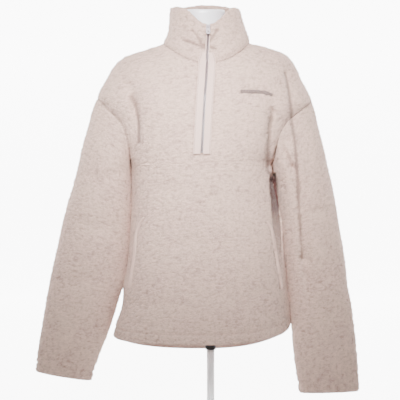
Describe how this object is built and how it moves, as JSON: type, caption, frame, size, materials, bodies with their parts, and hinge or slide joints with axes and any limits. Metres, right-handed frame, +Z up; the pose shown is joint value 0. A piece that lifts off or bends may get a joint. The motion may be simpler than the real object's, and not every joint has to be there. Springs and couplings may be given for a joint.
{
  "type": "half-zip fleece pullover on a dress form",
  "caption": "High-pile fleece pullover with a stand collar, half zip, slanted pockets and drop shoulders, hanging open-sleeved on a limbless dress form with a round base.",
  "frame": {"origin": "centre of the stand's underside, on the pole's axis", "axes": "+Z up, -Y the garment's front, +X the wearer's left"},
  "size_m": [0.6785, 0.29, 0.8722],
  "materials": {
    "front": "curly high-pile fleece",
    "back": "curly high-pile fleece",
    "sleeve_right": "curly high-pile fleece",
    "sleeve_left": "curly high-pile fleece",
    "collar": "curly high-pile fleece",
    "zip_tape_right": "woven tape",
    "zip_tape_left": "woven tape",
    "zip_chain": "moulded teeth",
    "zip_slider": "white enamel",
    "zip_pull": "white enamel",
    "pocket_welt_right": "smooth binding",
    "pocket_welt_left": "smooth binding",
    "form_torso": "satin white shell",
    "form_fitting": "black moulding",
    "stand_pole": "white enamel",
    "stand_base": "white enamel"
  },
  "bodies": {
    "garment_on_form": {"front": "front", "back": "back", "sleeve_right": "sleeve_right", "sleeve_left": "sleeve_left", "collar": "collar", "zip_tape_right": "zip_tape_right", "zip_tape_left": "zip_tape_left", "zip_chain": "zip_chain", "zip_slider": "zip_slider", "pocket_welt_right": "pocket_welt_right", "pocket_welt_left": "pocket_welt_left", "form_torso": "form_torso", "form_fitting": "form_fitting", "stand_pole": "stand_pole", "stand_base": "stand_base"},
    "pull_tab": {"zip_pull": "zip_pull"}
  },
  "joints": [
    {"name": "pull_hinge", "type": "hinge", "parent": "garment_on_form", "child": "pull_tab", "pos_m": [-0.00559, -0.07012, 0.81226], "axis": [-1, 0, 0], "range_deg": [0, 150]}
  ]
}
